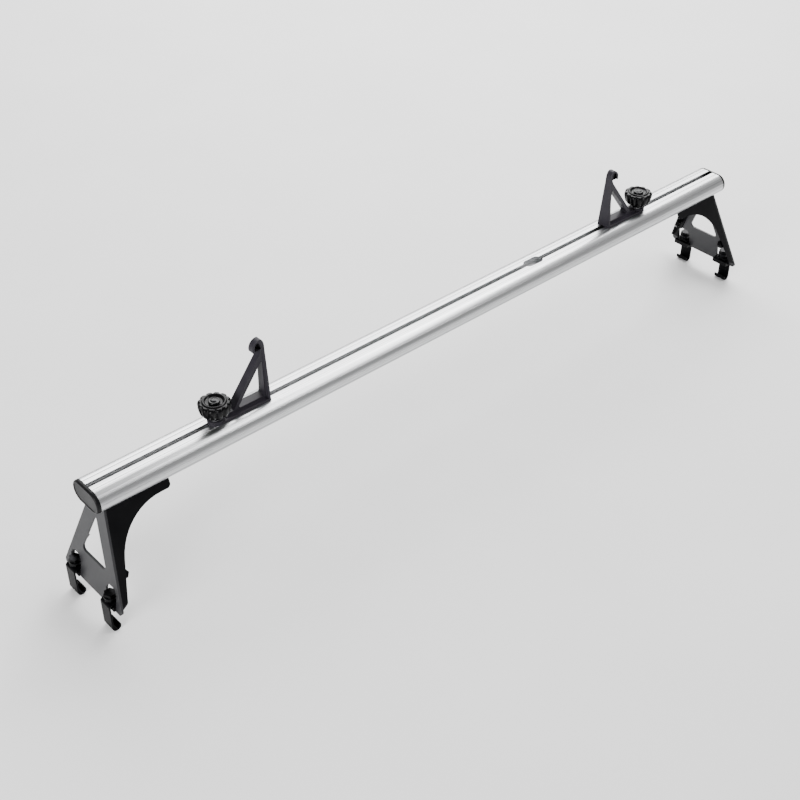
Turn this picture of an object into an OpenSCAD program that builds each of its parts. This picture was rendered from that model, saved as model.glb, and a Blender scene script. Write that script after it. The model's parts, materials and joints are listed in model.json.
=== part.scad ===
// Roof rack crossbar with rain gutter feet and two sliding load stops.
// X runs along the bar, Y runs fore and aft, Z is up. The origin is on the ground, midway
// along the bar, level with the lowest point of the gutter hooks. Millimetres.

/* [Crossbar] */
// Length of the bare extrusion
bar_length = 1524; // [1500:2:1800]
// Width of the extrusion, fore and aft
bar_width = 74; // [70:1:90]
// Height of the extrusion
bar_height = 40; // [38:1:44]
// Thickness of the outer wall
bar_wall = 2.2; // [1.8:0.1:3]
// Width of the mouth of both T-slots
slot_mouth = 10; // [10:0.5:12]
// Width of the channel behind the mouth
slot_width = 22; // [21:0.5:24]
// Depth of the channel
slot_depth = 8; // [7.5:0.5:9]
// Thickness of the lips either side of the mouth
slot_lip = 2.6; // [2:0.1:3]
// Distance from the middle of the bar to the drop-in opening of the upper slot
drop_in_x = 219; // [200:1:230]
// Length of the drop-in opening
drop_in_length = 44; // [40:1:60]
// Thickness of the flange of an end cap
cap_thick = 7; // [5:0.5:9]

/* [Feet] */
// Height of a foot from its lower edge to the bar
foot_height = 166.5; // [160:0.5:170]
// Distance from the middle of the bar to the lower edge of the end plate
foot_reach = 784.6; // [784:0.2:786]
// How far the end plate leans towards the middle for each unit of height
foot_lean = 0.19; // [0.18:0.01:0.2]
// Half width of the foot at its lower edge
foot_half = 88.6; // [87:0.2:90]
// How much the half width shrinks for each unit of height
foot_taper = 0.398; // [0.39:0.002:0.4]
// Thickness of the end plate
plate = 4; // [3:0.5:4]
// Thickness of the sheet of the saddle
sheet = 3; // [2.5:0.5:3]
// Radius of the concave inner edge of the webs
web_radius = 97; // [90:1:100]

/* [Gutter clamps] */
// Distance from the bar's centre plane to the middle of each hook
hook_y = 53.2; // [52:0.2:54]
// Width of the hook strap
hook_width = 26.3; // [24:0.1:27]
// Thickness of the hook strap
hook_thick = 3; // [2.5:0.5:3.5]
// Distance from the middle of the bar to the outer face of the strap
hook_reach = 794; // [793:0.5:796]
// Drop of the hook below the lower edge of the foot
hook_drop = 43; // [40:1:50]
// Outer radius of the curl
curl_radius = 8; // [7:0.5:9]
// Distance that a hook drops as its clamp bolt is unscrewed
clamp_travel = 3; // [2:0.5:3]
// Thread diameter of a clamp bolt
clamp_thread = 12; // [10:2:12]

/* [Load stops] */
// Distance from the middle of the bar to the upright face of each stop
stop_x = 420; // [400:5:440]
// Distance from the upright face to the knob
stop_reach = 101; // [98:1:104]
// Height of a load stop
stop_height = 120; // [115:0.5:125]
// Thickness of the triangular frame at its base
stop_frame = 18; // [16:1:20]
// Thickness of the claw at the top
stop_tip = 11; // [10:0.5:12]
// Width of the foot of the upright
stop_width = 30; // [28:1:32]
// Diameter of the star knob
knob_diameter = 56; // [50:1:58]
// Number of finger grooves around the knob
knob_grooves = 12; // [8:1:14]
// Thread diameter of the stop's T-bolt
stop_thread = 10; // [8:1:10]

/* [Hidden] */
$fn = 64;

left = -1;
right = 1;
front = -1;
rear = 1;
// overshoot of a cutting tool past the face that it cuts
over = 1;

bar_z = hook_drop + foot_height;
bar_top = bar_z + bar_height;
bar_mid = bar_z + bar_height / 2;
bar_end = bar_length / 2;
side_radius = bar_height / 2;
side_centre = bar_width / 2 - side_radius;
web_thick = 2;
web_outer = slot_width / 2 + web_thick;
groove_radius = 0.6;
drop_in_width = slot_width;
// gap round the spigots and the slot tab of an end cap
cap_gap = 0.2;
cap_edge = 3;
cap_spigot = 12;

foot_top_reach = foot_reach - foot_lean * foot_height;
web_slant = sheet * sqrt(1 + foot_taper * foot_taper);
plate_slant = plate * sqrt(1 + foot_lean * foot_lean);
saddle_slant = plate_slant + sheet * sqrt(1 + foot_lean * foot_lean);
weld_flange = 11;
flange_start = 634;
flange_lip = 16.5;
web_straight = 655;
// the concave edge turns through this angle before it runs straight to the lower corner
web_turn = 72;
web_corner = [[767.5, 17], [778.6, 11], [foot_reach + over, 11]];
tri_base = 57;
tri_top = 145.5;
tri_half = 37;
notch_half = 15;
notch_height = 40;
notch_chamfer = 10;

t_bolt_x = [672, 732];
t_bolt_radius = 4;
t_head_side = 18;
t_head_thick = 5;
washer_thick = 1.6;
nut_thick = 8;
nut_flats = 13;

// vertical places of the clamp, measured from the lower edge of the foot
tab_z = 12.5;
seat_top = tab_z - clamp_travel - 0.5;
seat_inner = 769;
seat_outer = 787.5;
clamp_x = 781.5;
tab_inner = 771;
weld_nut_thick = 7;
clamp_flats = 19;
head_z = tab_z + hook_thick + weld_nut_thick + 0.1;
head_thick = 8;
flange_radius = 11.2;
point_radius = 4;
// radial gap of a thread, and the gap under the point of a bolt
thread_gap = 0.05;
// place of the nut welded inside each web, close to its concave edge
web_nut_x = 756;
web_nut_z = 59;
web_nut_flats = 16;
web_nut_thick = 7;
web_nut_bore = 4;

stop_gap = 0.1;
stop_z = bar_top + stop_gap;
stop_hole = stop_thread / 2 + 0.3;
boss_height = 7.5;
boss_radius = 15;
rail_height = 10.5;
base_thick = 4.5;
tongue_depth = 2;
knob_z = stop_z + boss_height + washer_thick + stop_gap;
knob_height = 33;
insert_radius = 8;
insert_height = 18;
cap_radius = 9;
cap_height = 3;

function unit(v) = v / norm(v);

// points of an arc of radius r that rounds the corner b between a and c
function fillet(a, b, c, r, steps = 6) =
    let (u = unit(a - b),
         v = unit(c - b),
         half = acos(u * v) / 2,
         centre = b + unit(u + v) * r / sin(half),
         p = b + u * r / tan(half) - centre,
         q = b + v * r / tan(half) - centre,
         start = atan2(p[1], p[0]),
         turn = (atan2(q[1], q[0]) - start + 540) % 360 - 180)
    [for (i = [0:steps]) centre + r * [cos(start + turn * i / steps), sin(start + turn * i / steps)]];

// an outline with each corner rounded to its own radius, 0 for a sharp one
function rounded(points, radii) =
    let (last = len(points) - 1)
    [for (i = [0:last])
        each radii[i] > 0
            ? fillet(points[(i + last) % (last + 1)], points[i], points[(i + 1) % (last + 1)], radii[i])
            : [points[i]]];

// draws its children at the right end, or mirrored at the left end
module at_end(end) {
    mirror([end == left ? 1 : 0, 0, 0]) children();
}

// draws its children at the rear, or mirrored at the front
module at_row(row) {
    mirror([0, row == front ? 1 : 0, 0]) children();
}

// extrudes an outline drawn in X and Z along Y, centred on the bar
module along_y(depth) {
    translate([0, depth / 2, 0]) rotate([90, 0, 0]) linear_extrude(depth) children();
}

// extrudes an outline drawn in Y and Z along X, from one place to another
module along_x(from, to) {
    translate([from, 0, 0]) rotate([90, 0, 90]) linear_extrude(to - from) children();
}

module hexagon(flats, thick) {
    cylinder(d = flats / cos(30), h = thick, $fn = 6);
}

// ---- crossbar ----

module bar_outline() {
    square([2 * side_centre, bar_height], center = true);
    for (row = [front, rear])
        translate([row * side_centre, 0]) circle(r = side_radius);
}

// one hollow side chamber of the extrusion, shrunk by gap
module chamber(gap) {
    difference() {
        union() {
            translate([side_centre, 0]) circle(r = side_radius - bar_wall - gap);
            translate([0, -side_radius + bar_wall + gap])
                square([side_centre, bar_height - 2 * bar_wall - 2 * gap]);
        }
        translate([-bar_width, -bar_height]) square([bar_width + web_outer + gap, 2 * bar_height]);
    }
}

module t_slot() {
    translate([-slot_mouth / 2, side_radius - slot_lip - over])
        square([slot_mouth, slot_lip + 2 * over]);
    translate([-slot_width / 2, side_radius - slot_lip - slot_depth])
        square([slot_width, slot_depth]);
}

module bar_section() {
    core = bar_height - 2 * (slot_lip + slot_depth + web_thick);
    difference() {
        bar_outline();
        for (flip = [0, 1]) mirror([0, flip]) t_slot();
        for (flip = [0, 1]) mirror([flip, 0]) chamber(0);
        square([slot_width, core], center = true);
        // fine decorative grooves on the flanks and beside the slot
        for (row = [front, rear]) {
            translate([row * (side_centre - 3), side_radius]) circle(r = groove_radius);
            for (angle = [-24, 8, 40])
                translate([row * (side_centre + side_radius * cos(angle)), side_radius * sin(angle)])
                    circle(r = groove_radius);
        }
    }
}

module crossbar() {
    color("silver") difference() {
        translate([0, 0, bar_mid]) along_x(-bar_end, bar_end) bar_section();
        translate([drop_in_x, 0, bar_top - slot_lip - over]) {
            translate([-drop_in_length / 2 + drop_in_width / 2, -drop_in_width / 2, 0])
                cube([drop_in_length - drop_in_width, drop_in_width, slot_lip + 2 * over]);
            for (side = [-1, 1])
                translate([side * (drop_in_length - drop_in_width) / 2, 0, 0])
                    cylinder(d = drop_in_width, h = slot_lip + 2 * over);
        }
    }
}

// half section of the cap's rounded flange, outwards from its axis
module cap_profile(radius) {
    square([radius - cap_edge, cap_thick]);
    square([radius, cap_thick - cap_edge]);
    translate([radius - cap_edge, cap_thick - cap_edge]) circle(r = cap_edge);
}

module end_cap(end) {
    color("#1b1b1d") at_end(end) translate([bar_end, 0, bar_mid]) {
        for (row = [front, rear])
            translate([0, row * side_centre, 0]) rotate([0, 90, 0])
                rotate_extrude() cap_profile(side_radius);
        // straight middle of the flange
        for (flip = [0, 1]) mirror([0, 0, flip])
            translate([0, side_centre, 0]) rotate([90, 0, 0]) linear_extrude(2 * side_centre)
                rotate(90) mirror([0, 1]) cap_profile(side_radius);
        for (flip = [0, 1]) mirror([0, flip, 0]) along_x(-cap_spigot, 0) chamber(cap_gap);
        // tab that closes the end of the upper slot
        translate([-cap_spigot, -slot_mouth / 2 + cap_gap / 2, side_radius - slot_lip])
            cube([cap_spigot, slot_mouth - cap_gap, slot_lip - cap_gap]);
    }
}

// ---- feet ----

// outline of the foot seen from the end of the bar, shrunk sideways
module foot_front(shrink, low, high, corner) {
    lower = foot_half - shrink - foot_taper * low;
    upper = foot_half - shrink - foot_taper * high;
    polygon(rounded([[-lower, low], [lower, low], [upper, high], [-upper, high]],
                    [corner, corner, 0, 0]));
}

// space inside the end plate and the two webs
module foot_space(plate_shrink, web_shrink, low, high, corner) {
    intersection() {
        along_x(flange_start - over, foot_reach + over)
            foot_front(web_shrink, low, high, corner);
        along_y(3 * foot_half) polygon([
            [flange_start - over, low],
            [foot_reach - plate_shrink - foot_lean * low, low],
            [foot_reach - plate_shrink - foot_lean * high, high],
            [flange_start - over, high]]);
    }
}

// the concave inner edge of the webs, seen from the front of the bar
module web_edge() {
    corner = foot_height - flange_lip;
    arc = [for (a = [0:6:web_turn])
        [web_straight + web_radius * sin(a), corner - web_radius * (1 - cos(a))]];
    start = fillet([flange_start, foot_height], [flange_start, corner], arc[0], 7);
    along_y(3 * foot_half) polygon(concat(
        [[flange_start, foot_height]], start, arc, web_corner,
        [[foot_reach + over, foot_height]]));
}

// openings through the end plate and whatever lies flat behind it
module foot_windows() {
    along_x(foot_top_reach - 3 * plate, foot_reach + over) {
        polygon(rounded([[-tri_half, tri_base], [tri_half, tri_base], [0, tri_top]], [7, 7, 4]));
        for (row = [front, rear])
            translate([row * hook_y, 0]) polygon(rounded([
                [-notch_half, -over], [notch_half, -over],
                [notch_half, notch_height - notch_chamfer],
                [notch_half - notch_chamfer * 0.6, notch_height],
                [notch_chamfer * 0.6 - notch_half, notch_height],
                [-notch_half, notch_height - notch_chamfer]], [0, 0, 3, 3, 3, 3]));
    }
}

module foot_plate(end) {
    color("#4a4a4d") at_end(end) translate([0, 0, hook_drop]) difference() {
        foot_space(0, 0, 0, foot_height, 7);
        foot_space(plate_slant, -foot_half, -over, foot_height + over, 0);
        foot_windows();
    }
}

// folded sheet: two webs, a top flange under the bar and narrow flanges welded behind the end plate
module foot_saddle(end) {
    color("#1c1c1e") at_end(end) translate([0, 0, hook_drop]) difference() {
        intersection() {
            difference() {
                foot_space(plate_slant, 0, 0, foot_height, 0);
                foot_space(saddle_slant, web_slant, -over, foot_height - sheet, 0);
                foot_space(0, web_slant + weld_flange, -over, foot_height - sheet, 0);
            }
            web_edge();
        }
        foot_windows();
        for (x = t_bolt_x)
            translate([x, 0, foot_height - sheet - over])
                cylinder(r = t_bolt_radius + 0.5, h = sheet + 2 * over);
    }
}

module foot_t_bolts(end) {
    shank = slot_lip + sheet + washer_thick + nut_thick + 3;
    color("gray") at_end(end) for (x = t_bolt_x)
        translate([x, 0, bar_z + slot_lip]) {
            translate([-t_head_side / 2, -t_head_side / 2, 0])
                cube([t_head_side, t_head_side, t_head_thick]);
            translate([0, 0, -shank]) cylinder(r = t_bolt_radius, h = shank);
        }
}

module foot_washers(end) {
    color("lightgray") at_end(end) for (x = t_bolt_x)
        translate([x, 0, bar_z - sheet - washer_thick]) difference() {
            cylinder(r = 9, h = washer_thick);
            translate([0, 0, -over]) cylinder(r = t_bolt_radius + 0.3, h = washer_thick + 2 * over);
        }
}

module foot_nuts(end) {
    color("gray") at_end(end) for (x = t_bolt_x)
        translate([x, 0, bar_z - sheet - washer_thick - nut_thick]) difference() {
            hexagon(nut_flats, nut_thick);
            translate([0, 0, -over])
                cylinder(r = t_bolt_radius + thread_gap, h = nut_thick + 2 * over);
        }
}

// steel blocks welded into the lower part of each notch, which carry the points of the clamp bolts
module clamp_seats(end) {
    wide = notch_half + 3;
    narrow = notch_half - 0.3;
    color("#161618") at_end(end) translate([0, 0, hook_drop]) for (row = [front, rear]) {
        intersection() {
            foot_space(plate_slant, web_slant, 0, seat_top, 0);
            translate([seat_inner, row * hook_y - wide, 0])
                cube([foot_reach - seat_inner, 2 * wide, seat_top]);
        }
        translate([seat_inner, row * hook_y - narrow, 0])
            cube([seat_outer - seat_inner, 2 * narrow, seat_top]);
    }
}

module web_nuts(end) {
    lean = atan(foot_taper);
    inside = foot_half - web_slant - foot_taper * web_nut_z;
    color("#1a1a1c") at_end(end) for (row = [front, rear]) at_row(row)
        translate([web_nut_x, inside, hook_drop + web_nut_z]) rotate([90 + lean, 0, 0])
            difference() {
                hexagon(web_nut_flats, web_nut_thick);
                translate([0, 0, 1]) cylinder(r = web_nut_bore, h = web_nut_thick);
            }
}

// ---- gutter clamps ----

// strap, curl and tab of a hook, seen from the front of the bar
module hook_outline() {
    mid = hook_reach - curl_radius;
    low = curl_radius - hook_drop;
    bend = hook_thick + 2;
    tab_top = tab_z + hook_thick;
    translate([hook_reach - hook_thick, low]) square([hook_thick, tab_top - bend - low]);
    difference() {
        translate([mid, low]) circle(r = curl_radius);
        translate([mid, low]) circle(r = curl_radius - hook_thick);
        translate([mid - 2 * curl_radius, low]) square(4 * curl_radius);
    }
    translate([mid - curl_radius, low]) square([hook_thick, 1.5]);
    translate([mid - curl_radius + hook_thick / 2, low + 1.5]) circle(d = hook_thick);
    // bend between the strap and the tab
    intersection() {
        difference() {
            translate([hook_reach - bend, tab_top - bend]) circle(r = bend);
            translate([hook_reach - bend, tab_top - bend]) circle(r = bend - hook_thick);
        }
        translate([hook_reach - bend, tab_top - bend]) square(bend);
    }
    translate([tab_inner, tab_z]) square([hook_reach - bend - tab_inner, hook_thick]);
}

module hook(end, row) {
    color("#1a1a1c") at_end(end) at_row(row) translate([0, hook_y, hook_drop]) difference() {
        along_y(hook_width) hook_outline();
        translate([clamp_x, 0, tab_z - over])
            cylinder(d = clamp_thread + 1, h = hook_thick + 2 * over);
    }
}

module weld_nut(end, row) {
    color("#1a1a1c") at_end(end) at_row(row)
        translate([clamp_x, hook_y, hook_drop + tab_z + hook_thick]) difference() {
            hexagon(clamp_flats, weld_nut_thick);
            translate([0, 0, -over])
                cylinder(d = clamp_thread + 2 * thread_gap, h = weld_nut_thick + 2 * over);
        }
}

module clamp_bolt(end, row) {
    tip = seat_top + thread_gap;
    color("#232326") at_end(end) at_row(row) translate([clamp_x, hook_y, hook_drop]) {
        translate([0, 0, tip]) cylinder(r = point_radius, h = 2);
        translate([0, 0, tip + 2]) cylinder(d = clamp_thread, h = head_z - tip - 2);
        translate([0, 0, head_z]) cylinder(r = flange_radius, h = 1.8);
        translate([0, 0, head_z]) hexagon(18, head_thick);
    }
}

// ---- load stops ----

// points along an oval between two angles
function oval(centre, wide, high, from, to) =
    let (step = from < to ? 10 : -10)
    [for (a = [from:step:to]) centre + [wide * cos(a), high * sin(a)]];

// the triangular frame and its claw, from the upright face outwards
module stop_outline() {
    claw_high = 16;
    claw_z = stop_height - claw_high;
    apex = [8, claw_z];
    difference() {
        polygon(concat(
            [[0, 0], [stop_reach - 16, 0], [stop_reach - 16, boss_height],
             [stop_reach - 22, rail_height], [71, rail_height], [10, stop_height - 26.5]],
            oval([13, claw_z - 1], 6.2, 11.5, 190, 0),
            rounded([[19.2, claw_z - 1], [19.3, claw_z - 5], [23, claw_z - 4.5], [23.2, claw_z]],
                    [0, 1.5, 1.5, 0]),
            oval(apex, 15.2, claw_high, 0, 80),
            oval(apex, 8, claw_high, 90, 180)));
        polygon(rounded([[7.5, rail_height], [63, rail_height], [7.5, 81]], [3, 3, 2]));
    }
}

module load_stop(end) {
    base_half = stop_frame / 2;
    tip_half = stop_tip / 2;
    color("#3b3a40") at_end(end) translate([stop_x, 0, stop_z]) difference() {
        union() {
            intersection() {
                along_y(2 * stop_frame) stop_outline();
                along_x(-over, stop_reach) polygon([
                    [-base_half, 0], [base_half, 0], [tip_half, stop_height], [-tip_half, stop_height]]);
            }
            // tapered flange of the upright
            along_x(0, 4) polygon([[-stop_width / 2, 0], [stop_width / 2, 0],
                                   [tip_half, stop_height - 14], [-tip_half, stop_height - 14]]);
            translate([0, -stop_width / 2, 0]) cube([stop_reach, stop_width, base_thick]);
            translate([stop_reach, 0, 0]) cylinder(r = boss_radius, h = boss_height);
            // tongue that keeps the stop square in the slot
            translate([6, 0.4 - slot_mouth / 2, -tongue_depth])
                cube([stop_reach - 20, slot_mouth - 0.8, tongue_depth + over]);
        }
        translate([stop_reach, 0, -over]) cylinder(r = stop_hole, h = boss_height + 2 * over);
    }
}

module stop_t_bolt(end) {
    head_top = bar_top - slot_lip - 0.3;
    shank_top = knob_z + insert_height - 2;
    color("gray") at_end(end) translate([stop_x + stop_reach, 0, 0]) {
        translate([-10, -10, head_top - 6]) cube([20, 20, 6]);
        translate([0, 0, head_top - over]) cylinder(d = stop_thread, h = shank_top - head_top + over);
    }
}

module stop_washer(end) {
    color("lightgray") at_end(end)
        translate([stop_x + stop_reach, 0, stop_z + boss_height]) difference() {
            cylinder(r = 11, h = washer_thick);
            translate([0, 0, -over]) cylinder(r = stop_hole, h = washer_thick + 2 * over);
        }
}

module knob(end) {
    rim = knob_diameter / 2;
    rim_low = 8.5;
    rim_round = 4;
    rim_top = 31;
    color("#101012") at_end(end) translate([stop_x + stop_reach, 0, knob_z]) difference() {
        rotate_extrude() {
            // hub that stands on the washer
            polygon([[0, 0], [11, 0], [12, rim_low + 1], [0, rim_low + 1]]);
            translate([0, rim_low]) square([rim - rim_round, rim_top - rim_low]);
            translate([0, rim_low + rim_round]) square([rim, rim_top - rim_low - 2 * rim_round]);
            for (z = [rim_low + rim_round, rim_top - rim_round])
                translate([rim - rim_round, z]) circle(r = rim_round);
            // raised crown with a concentric step
            polygon([[0, rim_top - 1], [20, rim_top - 1], [18, knob_height - 0.6], [0, knob_height]]);
        }
        for (i = [0:knob_grooves - 1]) rotate(i * 360 / knob_grooves)
            translate([rim + 2.4, 0, -over]) cylinder(r = 4.4, h = knob_height + 2 * over);
        translate([0, 0, -over]) cylinder(r = insert_radius, h = insert_height + over);
        translate([0, 0, knob_height - 2]) cylinder(r = cap_radius + cap_gap, h = 2 + over);
    }
}

module knob_insert(end) {
    color("gold") at_end(end) translate([stop_x + stop_reach, 0, knob_z]) difference() {
        cylinder(r = insert_radius, h = insert_height);
        translate([0, 0, -over]) cylinder(d = stop_thread + 2 * thread_gap, h = insert_height + 2 * over);
    }
}

module knob_cap(end) {
    color("#1d1d20") at_end(end)
        translate([stop_x + stop_reach, 0, knob_z + knob_height - 2])
            cylinder(r = cap_radius, h = cap_height);
}

crossbar();
end_cap(left);  // end_cap_left
end_cap(right);  // end_cap_right
foot_plate(left);  // foot_plate_left
foot_plate(right);  // foot_plate_right
foot_saddle(left);  // foot_saddle_left
foot_saddle(right);  // foot_saddle_right
foot_t_bolts(left);  // foot_t_bolts_left
foot_t_bolts(right);  // foot_t_bolts_right
foot_washers(left);  // foot_washers_left
foot_washers(right);  // foot_washers_right
foot_nuts(left);  // foot_nuts_left
foot_nuts(right);  // foot_nuts_right
clamp_seats(left);  // clamp_seats_left
clamp_seats(right);  // clamp_seats_right
web_nuts(left);  // web_nuts_left
web_nuts(right);  // web_nuts_right
hook(left, front);  // hook_left_front
hook(left, rear);  // hook_left_rear
hook(right, front);  // hook_right_front
hook(right, rear);  // hook_right_rear
weld_nut(left, front);  // weld_nut_left_front
weld_nut(left, rear);  // weld_nut_left_rear
weld_nut(right, front);  // weld_nut_right_front
weld_nut(right, rear);  // weld_nut_right_rear
clamp_bolt(left, front);  // clamp_bolt_left_front
clamp_bolt(left, rear);  // clamp_bolt_left_rear
clamp_bolt(right, front);  // clamp_bolt_right_front
clamp_bolt(right, rear);  // clamp_bolt_right_rear
load_stop(left);  // load_stop_left
load_stop(right);  // load_stop_right
stop_t_bolt(left);  // stop_t_bolt_left
stop_t_bolt(right);  // stop_t_bolt_right
stop_washer(left);  // stop_washer_left
stop_washer(right);  // stop_washer_right
knob(left);  // knob_left
knob(right);  // knob_right
knob_insert(left);  // knob_insert_left
knob_insert(right);  // knob_insert_right
knob_cap(left);  // knob_cap_left
knob_cap(right);  // knob_cap_right
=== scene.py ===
"""Looks of the roof rack crossbar: materials on the CAD nodes, detailed knobs, end caps and load
stops in place of their nodes, beads on the feet, and the stage. Metres, in the CAD frame."""

import json
import math

import bmesh
import bpy
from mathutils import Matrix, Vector

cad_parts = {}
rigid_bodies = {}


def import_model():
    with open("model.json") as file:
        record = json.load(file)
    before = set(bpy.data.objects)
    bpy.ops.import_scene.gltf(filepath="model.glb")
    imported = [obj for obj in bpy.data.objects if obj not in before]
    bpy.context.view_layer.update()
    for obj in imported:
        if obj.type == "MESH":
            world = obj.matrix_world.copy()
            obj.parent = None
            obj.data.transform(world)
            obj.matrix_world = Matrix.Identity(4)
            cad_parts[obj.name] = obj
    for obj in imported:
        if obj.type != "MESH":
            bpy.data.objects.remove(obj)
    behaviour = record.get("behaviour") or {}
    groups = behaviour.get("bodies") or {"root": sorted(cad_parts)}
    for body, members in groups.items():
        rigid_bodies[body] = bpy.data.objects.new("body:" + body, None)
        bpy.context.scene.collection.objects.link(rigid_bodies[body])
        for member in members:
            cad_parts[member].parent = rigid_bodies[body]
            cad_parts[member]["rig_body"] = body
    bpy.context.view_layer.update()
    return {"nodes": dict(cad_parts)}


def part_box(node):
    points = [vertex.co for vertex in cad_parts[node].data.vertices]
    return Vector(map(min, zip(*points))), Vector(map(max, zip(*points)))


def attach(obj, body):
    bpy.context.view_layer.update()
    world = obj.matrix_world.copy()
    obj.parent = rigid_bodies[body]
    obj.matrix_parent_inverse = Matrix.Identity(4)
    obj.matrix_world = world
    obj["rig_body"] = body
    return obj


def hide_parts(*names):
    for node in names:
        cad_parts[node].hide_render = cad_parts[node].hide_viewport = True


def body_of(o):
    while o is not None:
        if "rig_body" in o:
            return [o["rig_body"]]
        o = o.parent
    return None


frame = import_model()
nodes = frame["nodes"]

MM = 0.001
SIDES = {"left": -1, "right": 1}
ROWS = {"front": -1, "rear": 1}

bar_low, bar_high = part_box("crossbar")
BAR_MIDDLE = (bar_high[2] + bar_low[2]) / 2
BAR_RADIUS = (bar_high[2] - bar_low[2]) / 2
SIDE_CENTRE = bar_high[1] - BAR_RADIUS
BAR_END = bar_high[0]
FOOT_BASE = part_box("foot_plate_right")[0][2]
FOOT_TOP = bar_low[2]

# CAD meshes: points closer than the gap are one, and faces within the angle of each other are flat
WELD_GAP = 0.00001
FLAT_ANGLE = math.radians(0.5)
# edges that turn more than this are rounded, on the shown nodes and on the load stops
NODE_EDGE_ANGLE = math.radians(32)
STOP_EDGE_ANGLE = math.radians(35)
BEVEL_SEGMENTS = 3
# edges that turn more than this many degrees are shaded sharp, on the knobs and on other pieces
KNOB_SHARP = 50
PIECE_SHARP = 60


# ---- materials ----

class Shader:
    """A Principled material and the few nodes that drive it, all in object space."""

    def __init__(self, name, **settings):
        self.material = bpy.data.materials.new(name)
        self.material.use_nodes = True
        self.tree = self.material.node_tree
        self.bsdf = self.tree.nodes["Principled BSDF"]
        for socket, value in settings.items():
            self.bsdf.inputs[socket.replace("_", " ")].default_value = value
        self.place = self.tree.nodes.new("ShaderNodeTexCoord").outputs["Object"]

    def add(self, kind, inputs, **settings):
        node = self.tree.nodes.new("ShaderNode" + kind)
        for key, value in settings.items():
            setattr(node, key, value)
        for key, value in inputs.items():
            if isinstance(value, bpy.types.NodeSocket):
                self.tree.links.new(value, node.inputs[key])
            else:
                node.inputs[key].default_value = value
        return node

    def stretched(self, x, y, z):
        """Object coordinates scaled along each axis, per metre."""
        return self.add("Mapping", {"Vector": self.place, "Scale": (x, y, z)}).outputs["Vector"]

    def noise(self, vector, scale=1.0, detail=3.0, roughness=0.5):
        inputs = {"Vector": vector, "Scale": scale, "Detail": detail, "Roughness": roughness}
        return self.add("TexNoise", inputs).outputs["Fac"]

    def spread(self, value, low, high, from_low=0.3, from_high=0.7):
        inputs = {"Value": value, "From Min": from_low, "From Max": from_high,
                  "To Min": low, "To Max": high}
        return self.add("MapRange", inputs).outputs["Result"]

    def tint(self, value, dark, light, from_low=0.3, from_high=0.7):
        ramp = self.add("ValToRGB", {"Fac": value})
        ramp.color_ramp.elements[0].position = from_low
        ramp.color_ramp.elements[0].color = (*dark, 1)
        ramp.color_ramp.elements[1].position = from_high
        ramp.color_ramp.elements[1].color = (*light, 1)
        return ramp.outputs["Color"]

    def use(self, socket, value):
        self.tree.links.new(value, self.bsdf.inputs[socket])

    def bump(self, height, distance, strength):
        inputs = {"Height": height, "Distance": distance, "Strength": strength}
        self.use("Normal", self.add("Bump", inputs).outputs["Normal"])


def satin_aluminium():
    s = Shader("satin_aluminium", Metallic=1.0)
    drawn = s.noise(s.stretched(1.5, 900, 900), detail=4)
    cloud = s.noise(s.stretched(6, 14, 14))
    streaks = s.noise(s.stretched(0.4, 300, 300), detail=5, roughness=0.65)
    s.use("Base Color", s.tint(streaks, (0.36, 0.365, 0.375), (0.64, 0.645, 0.65),
                               from_low=0.32, from_high=0.66))
    blend = s.add("Math", {0: drawn, 1: cloud}, operation="ADD").outputs[0]
    s.use("Roughness", s.spread(blend, 0.27, 0.35, from_low=0.7, from_high=1.3))
    s.bump(drawn, 0.00002, 0.5)
    return s.material


def powder_coat(name, dark, light, roughness, specular):
    s = Shader(name, Specular_IOR_Level=specular)
    peel = s.noise(s.place, 900, detail=2)
    cloud = s.noise(s.place, 22, detail=4)
    s.use("Base Color", s.tint(cloud, dark, light))
    s.use("Roughness", s.spread(cloud, roughness - 0.05, roughness + 0.06))
    s.bump(peel, 0.00006, 0.5)
    return s.material


def moulded(name, dark, light, roughness, specular, grain=1400):
    s = Shader(name, Specular_IOR_Level=specular)
    fine = s.noise(s.place, grain)
    cloud = s.noise(s.place, 40, detail=4)
    s.use("Base Color", s.tint(cloud, dark, light))
    s.use("Roughness", s.spread(cloud, roughness - 0.04, roughness + 0.05))
    s.bump(fine, 0.00003, 0.4)
    return s.material


def plated(name, dark, light, roughness):
    s = Shader(name, Metallic=1.0)
    grain = s.noise(s.place, 700, detail=4)
    cloud = s.noise(s.place, 90)
    s.use("Base Color", s.tint(cloud, dark, light))
    s.use("Roughness", s.spread(grain, roughness - 0.06, roughness + 0.08))
    s.bump(grain, 0.00001, 0.4)
    return s.material


ALUMINIUM = satin_aluminium()
PLATE_COAT = powder_coat("plate_powder_coat", (0.015, 0.015, 0.017), (0.021, 0.021, 0.023),
                         roughness=0.42, specular=0.3)
SADDLE_COAT = powder_coat("saddle_powder_coat", (0.002, 0.002, 0.0025), (0.004, 0.004, 0.0045),
                          roughness=0.36, specular=0.06)
HOOK_COAT = powder_coat("hook_powder_coat", (0.001, 0.001, 0.0015), (0.003, 0.003, 0.0035),
                        roughness=0.34, specular=0.03)
BLACK_ZINC = plated("black_zinc", (0.004, 0.004, 0.0045), (0.009, 0.009, 0.010), roughness=0.32)
ZINC = plated("zinc_plate", (0.50, 0.51, 0.53), (0.64, 0.65, 0.66), roughness=0.34)
BRASS = plated("turned_brass", (0.60, 0.44, 0.20), (0.74, 0.57, 0.28), roughness=0.28)
CAP_PLASTIC = moulded("cap_plastic", (0.003, 0.003, 0.0035), (0.006, 0.006, 0.0065),
                      roughness=0.36, specular=0.10)
STOP_NYLON = moulded("stop_nylon", (0.016, 0.0145, 0.0195), (0.024, 0.022, 0.028),
                     roughness=0.46, specular=0.15, grain=1100)
KNOB_GLOSS = moulded("knob_gloss", (0.001, 0.001, 0.0013), (0.002, 0.002, 0.0024),
                     roughness=0.13, specular=0.12, grain=500)
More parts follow.
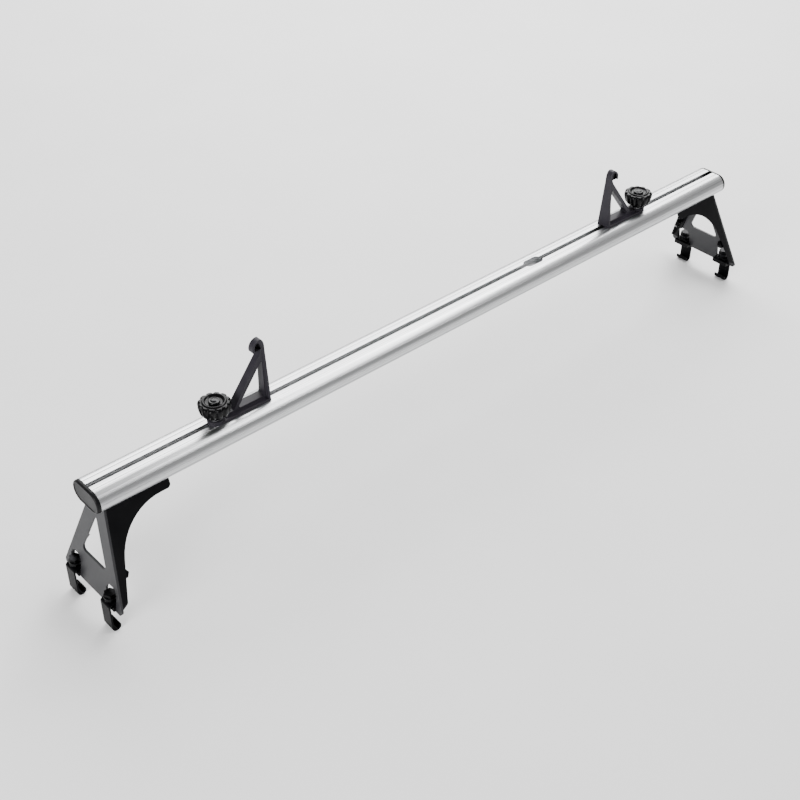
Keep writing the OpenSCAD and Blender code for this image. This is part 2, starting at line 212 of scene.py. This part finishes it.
BUTTON = moulded("knob_button", (0.002, 0.002, 0.0025), (0.004, 0.004, 0.0045),
                 roughness=0.18, specular=0.2)


def dress(obj, material):
    obj.data.materials.clear()
    obj.data.materials.append(material)


COATS = {
    "crossbar": ALUMINIUM, "end_cap": CAP_PLASTIC, "foot_plate": PLATE_COAT,
    "foot_saddle": SADDLE_COAT, "foot_t_bolts": ZINC, "foot_washers": ZINC, "foot_nuts": ZINC,
    "clamp_seats": SADDLE_COAT, "web_nuts": BLACK_ZINC, "hook": HOOK_COAT,
    "weld_nut": BLACK_ZINC, "clamp_bolt": BLACK_ZINC, "load_stop": STOP_NYLON,
    "stop_t_bolt": ZINC, "stop_washer": ZINC, "knob": KNOB_GLOSS, "knob_insert": BRASS,
    "knob_cap": BUTTON,
}
# bevel widths in millimetres of the CAD nodes that are shown with rounded edges
EDGES = {"foot_plate": 0.5, "foot_saddle": 0.9, "clamp_seats": 0.5, "web_nuts": 0.7, "hook": 0.5,
         "weld_nut": 0.6, "clamp_bolt": 0.4, "foot_nuts": 0.4, "foot_washers": 0.2}


def family(node):
    """A node's name without its end and row."""
    words = [word for word in node.split("_") if word not in SIDES and word not in ROWS]
    return "_".join(words)


def even_normals(obj):
    """Weights the shading towards the larger faces, so that flat areas look flat."""
    weighted = obj.modifiers.new("normals", "WEIGHTED_NORMAL")
    weighted.keep_sharp = True


def soften(obj, width):
    """Rounds the sharp edges of a CAD node's shown shape and shades it smooth between them."""
    weld = obj.modifiers.new("weld", "WELD")
    weld.merge_threshold = WELD_GAP
    flat = obj.modifiers.new("flat", "DECIMATE")
    flat.decimate_type = "DISSOLVE"
    flat.angle_limit = FLAT_ANGLE
    bevel = obj.modifiers.new("edges", "BEVEL")
    bevel.width = width
    bevel.segments = BEVEL_SEGMENTS
    bevel.limit_method = "ANGLE"
    bevel.angle_limit = NODE_EDGE_ANGLE
    bevel.use_clamp_overlap = True
    obj.data.polygons.foreach_set("use_smooth", [True] * len(obj.data.polygons))
    even_normals(obj)


for name, obj in nodes.items():
    dress(obj, COATS[family(name)])
    if family(name) in EDGES:
        soften(obj, EDGES[family(name)] * MM)


# ---- detailed pieces ----

def add_piece(name, mesh, material, body, replaced=None):
    """Places a detailed piece that rides on a CAD body, and may stand for a CAD node."""
    obj = bpy.data.objects.new(name, mesh)
    bpy.context.collection.objects.link(obj)
    dress(obj, material)
    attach(obj, body)
    if replaced:
        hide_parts(replaced)
    return obj


def skin(name, rings, sharp):
    """A closed mesh through rings of equally many points, with a flat face at both ends."""
    mesh = bpy.data.meshes.new(name)
    bm = bmesh.new()
    rows = [[bm.verts.new(point) for point in ring] for ring in rings]
    count = len(rows[0])
    for lower, upper in zip(rows, rows[1:]):
        for i in range(count):
            j = (i + 1) % count
            bm.faces.new((lower[i], lower[j], upper[j], upper[i]))
    bm.faces.new(list(reversed(rows[0])))
    bm.faces.new(rows[-1])
    finish_mesh(bm, mesh, sharp)
    return mesh


def finish_mesh(bm, mesh, sharp):
    """Writes bm into mesh, smooth except across edges sharper than an angle in degrees."""
    bmesh.ops.recalc_face_normals(bm, faces=bm.faces)
    for face in bm.faces:
        face.smooth = True
    for edge in bm.edges:
        edge.smooth = not edge.is_manifold or edge.calc_face_angle() < math.radians(sharp)
    bm.to_mesh(mesh)
    bm.free()


def node_bodies():
    """The body that each CAD node rides on."""
    return {name: body_of(obj)[0] for name, obj in nodes.items()}


# star knob: radius and height in millimetres, and how much of the finger grooves shows there
KNOB_PROFILE = [
    (11.0, 0.0, 0), (12.0, 0.8, 0), (12.2, 7.6, 0), (13.2, 8.8, 0), (18.0, 8.6, 0),
    (21.4, 8.8, 0.7), (23.6, 9.8, 0.95), (24.8, 11.4, 1), (25.6, 13.6, 1), (26.8, 18.0, 1),
    (27.7, 22.0, 1), (28.0, 25.0, 1), (27.8, 27.2, 1), (27.0, 29.0, 1), (25.6, 30.3, 0.95),
    (23.8, 30.9, 0.8), (22.0, 30.9, 0.4), (21.2, 30.8, 0.1), (20.8, 30.9, 0), (20.3, 31.5, 0),
    (19.6, 32.4, 0), (18.6, 32.9, 0), (17.4, 32.9, 0), (16.5, 32.3, 0), (15.8, 31.2, 0),
    (14.4, 30.2, 0), (12.4, 29.7, 0), (10.2, 29.8, 0),
]
BUTTON_PROFILE = [
    (9.9, 29.2, 0), (9.9, 31.6, 0), (9.5, 32.5, 0), (8.7, 33.0, 0), (7.6, 33.1, 0), (6.9, 32.7, 0),
    (6.3, 32.6, 0), (5.6, 33.1, 0), (4.0, 33.7, 0), (2.0, 34.0, 0),
]
# grooves: how many, and in millimetres their depth and half their width along the rim
GROOVES = 12
GROOVE_DEPTH = 2.6
GROOVE_HALF = 4.6
# how far a lobe falls from its middle to the groove, and the radius of the rim, in millimetres
LOBE_FALL = 0.5
RIM_RADIUS = 28
# points round the knob for each groove
GROOVE_STEPS = 18


def knob_ring(radius, height, share, centre):
    """One ring round the knob's axis, with finger grooves as deep as share says."""
    ring = []
    pitch = 2 * math.pi / GROOVES
    for i in range(GROOVES * GROOVE_STEPS):
        angle = i * pitch / GROOVE_STEPS
        off = abs((angle + pitch / 2) % pitch - pitch / 2) * RIM_RADIUS
        fall = LOBE_FALL * (1 - min(off / (RIM_RADIUS * pitch / 2), 1)) ** 2
        cut = GROOVE_DEPTH * (0.5 + 0.5 * math.cos(math.pi * min(off / GROOVE_HALF, 1)))
        r = (radius - share * (cut + fall)) * MM
        ring.append(centre + Vector((r * math.cos(angle), r * math.sin(angle), height * MM)))
    return ring


def build_knobs(bodies):
    for side in SIDES:
        low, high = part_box("knob_" + side)
        centre = Vector(((low[0] + high[0]) / 2, (low[1] + high[1]) / 2, low[2]))
        for part, profile, material, slot in (("knob", KNOB_PROFILE, KNOB_GLOSS, "knob_gloss"),
                                              ("knob_cap", BUTTON_PROFILE, BUTTON, "knob_cap")):
            node = f"{part}_{side}"
            rings = [knob_ring(*row, centre) for row in profile]
            add_piece(node + "_moulding", skin(node, rings, KNOB_SHARP), material, bodies[node],
                      node)


# end cap: inset of the outline and distance past the bar's end, in millimetres
CAP_PROFILE = [(0.0, 0.0), (0.0, 3.6), (0.25, 5.0), (0.9, 6.1), (1.9, 6.8), (3.0, 7.0), (3.7, 7.0),
               (4.1, 6.75), (4.3, 6.3), (4.7, 6.1), (6.0, 6.1)]
# steps round each half circle of the cap's outline
CAP_STEPS = 32


def stadium(inset, x):
    """The bar's rounded outline, shrunk by inset, at one place along the bar."""
    radius = BAR_RADIUS - inset
    ring = []
    for row in (1, -1):
        for i in range(CAP_STEPS + 1):
            angle = math.radians(90 - i * 180 / CAP_STEPS)
            y = row * (SIDE_CENTRE + radius * math.cos(angle))
            ring.append(Vector((x, y, BAR_MIDDLE + row * radius * math.sin(angle))))
    return ring


def build_end_caps(bodies):
    for side, way in SIDES.items():
        node = "end_cap_" + side
        rings = [stadium(inset * MM, way * (BAR_END + out * MM)) for inset, out in CAP_PROFILE]
        add_piece(node + "_moulding", skin(node, rings, PIECE_SHARP), CAP_PLASTIC, bodies[node],
                  node)


def cad_copy(node):
    """The CAD node's mesh in the row frame, welded and with its flat areas made whole."""
    bm = bmesh.new()
    bm.from_mesh(nodes[node].data)
    bm.transform(nodes[node].matrix_world)
    bmesh.ops.remove_doubles(bm, verts=bm.verts, dist=WELD_GAP)
    bmesh.ops.dissolve_limit(bm, angle_limit=FLAT_ANGLE, verts=bm.verts, edges=bm.edges)
    return bm


def bevel_edges(bm, width):
    edges = [edge for edge in bm.edges
             if edge.is_manifold and edge.calc_face_angle() > STOP_EDGE_ANGLE]
    bmesh.ops.bevel(bm, geom=edges, offset=width, offset_type="OFFSET", segments=BEVEL_SEGMENTS,
                    profile=0.5, affect="EDGES", clamp_overlap=True)


# load stop: a side face gets a recessed panel if it faces front or rear at least this squarely,
# is at least this large in square metres, and has its middle no further than this below the top
PANEL_FACING = 0.97
PANEL_AREA = 0.0004
PANEL_DROP = 0.115
# width of the border round a panel and depth of the panel, and rounding of the stop's edges
PANEL_BORDER = 0.0017
PANEL_DEPTH = 0.0009
STOP_ROUNDING = 0.0008


def build_load_stops(bodies):
    """The load stops, with recessed panels in both sides of the frame and softly rounded edges."""
    for side in SIDES:
        node = "load_stop_" + side
        bm = cad_copy(node)
        bm.normal_update()
        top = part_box(node)[1][2]
        panels = [face for face in bm.faces
                  if abs(face.normal.y) > PANEL_FACING and face.calc_area() > PANEL_AREA
                  and face.calc_center_median().z > top - PANEL_DROP]
        bmesh.ops.inset_region(bm, faces=panels, thickness=PANEL_BORDER, depth=-PANEL_DEPTH,
                               use_even_offset=True, use_boundary=True)
        bevel_edges(bm, STOP_ROUNDING)
        mesh = bpy.data.meshes.new(node)
        finish_mesh(bm, mesh, PIECE_SHARP)
        even_normals(add_piece(node + "_moulding", mesh, STOP_NYLON, bodies[node],
                               node))


# the concave edge of a web: centre, radius and turn in degrees of its arc
WEB_CENTRE = (0.655, FOOT_TOP - 0.1135)
WEB_RADIUS = 0.097
WEB_TURN = 72
# how far a web leans towards the middle of the foot for each metre of height
WEB_LEAN = 0.398
# bead: distance from that edge, lower end, half width, height and how deep it is sunk in the web
BEAD_INSET = 0.006
BEAD_END = (0.7725, FOOT_BASE + 0.021)
BEAD_HALF = 0.0015
BEAD_HEIGHT = 0.0011
BEAD_SUNK = 0.0004
# size of the bead's first and last ring as a share of the others, degrees between the points
# along the arc, and steps across the bead
BEAD_TIP = 0.3
BEAD_PITCH = 4
BEAD_STEPS = 8


def bead_path():
    """Points along the bead of a right-hand web, as x and z."""
    path = []
    reach = WEB_RADIUS + BEAD_INSET
    for degrees in range(BEAD_PITCH, WEB_TURN + 1, BEAD_PITCH):
        angle = math.radians(degrees)
        path.append((WEB_CENTRE[0] + reach * math.sin(angle),
                     WEB_CENTRE[1] + reach * math.cos(angle)))
    path.append(BEAD_END)
    return path


def build_beads(bodies):
    """A raised bead on each web of the feet, parallel to its concave edge."""
    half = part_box("foot_plate_right")[1][1]
    path = bead_path()
    for side, way in SIDES.items():
        for row, flank in ROWS.items():
            rings = []
            for i, (x, z) in enumerate(path):
                before, after = path[max(i - 1, 0)], path[min(i + 1, len(path) - 1)]
                along = Vector((after[0] - before[0], after[1] - before[1])).normalized()
                shrink = BEAD_TIP if i in (0, len(path) - 1) else 1
                ring = []
                for k in range(BEAD_STEPS + 1):
                    turn = math.pi * k / BEAD_STEPS
                    across = BEAD_HALF * shrink * math.cos(turn)
                    raised = BEAD_HEIGHT * shrink * math.sin(turn) - BEAD_SUNK
                    px, pz = x - along[1] * across, z + along[0] * across
                    py = half - WEB_LEAN * (pz - FOOT_BASE) + raised
                    ring.append(Vector((way * px, flank * py, pz)))
                rings.append(ring)
            name = f"web_bead_{side}_{row}"
            add_piece(name, skin(name, rings, PIECE_SHARP), SADDLE_COAT,
                      bodies["foot_saddle_" + side])


bodies = node_bodies()
build_knobs(bodies)
build_end_caps(bodies)
build_load_stops(bodies)
build_beads(bodies)


# ---- stage ----

def soft_light(name, place, target, size, power):
    data = bpy.data.lights.new(name, "AREA")
    data.shape = "RECTANGLE"
    data.size, data.size_y = size
    data.energy = power
    light = bpy.data.objects.new(name, data)
    light.location = place
    light.rotation_euler = (Vector(target) - Vector(place)).to_track_quat("-Z", "Y").to_euler()
    bpy.context.collection.objects.link(light)


def build_stage():
    floor = bpy.data.meshes.new("floor")
    reach = 60
    corners = [(-reach, -reach, 0), (reach, -reach, 0), (reach, reach, 0), (-reach, reach, 0)]
    floor.from_pydata(corners, [], [(0, 1, 2, 3)])
    obj = bpy.data.objects.new("floor", floor)
    bpy.context.collection.objects.link(obj)
    s = Shader("pale_floor", Roughness=0.9, Specular_IOR_Level=0.1)
    cloud = s.noise(s.place, 3, detail=4)
    s.use("Base Color", s.tint(cloud, (0.80, 0.80, 0.80), (0.83, 0.83, 0.83)))
    floor.materials.append(s.material)

    world = bpy.data.worlds.new("studio")
    world.use_nodes = True
    background = world.node_tree.nodes["Background"]
    background.inputs["Color"].default_value = (1, 1, 1, 1)
    background.inputs["Strength"].default_value = 0.5
    bpy.context.scene.world = world

    soft_light("behind", (2.0, 2.4, 2.7), (0, 0, 0.2), (4.6, 3.0), 330)
    soft_light("overhead", (1.4, -0.3, 2.9), (0, 0, 0.2), (3.2, 0.9), 95)
    soft_light("left", (-3.6, -0.9, 1.3), (-0.2, 0, 0.1), (1.8, 1.4), 150)


# the camera: where it stands, heading and downward tilt in degrees, lens and sensor in millimetres
CAMERA_PLACE = (-1.4357, -1.4786, 1.5635 + FOOT_BASE)
CAMERA_HEADING = 48.37
CAMERA_TILT = 37.5
CAMERA_LENS = 60.55
CAMERA_SENSOR = 36


def build_camera():
    data = bpy.data.cameras.new("camera")
    data.sensor_width = CAMERA_SENSOR
    data.lens = CAMERA_LENS
    data.clip_end = 200
    camera = bpy.data.objects.new("camera", data)
    bpy.context.collection.objects.link(camera)
    heading, tilt = math.radians(CAMERA_HEADING), math.radians(CAMERA_TILT)
    look = Vector((math.cos(tilt) * math.cos(heading), math.cos(tilt) * math.sin(heading),
                   -math.sin(tilt)))
    camera.location = CAMERA_PLACE
    camera.rotation_euler = look.to_track_quat("-Z", "Y").to_euler()
    bpy.context.scene.camera = camera


build_stage()
build_camera()
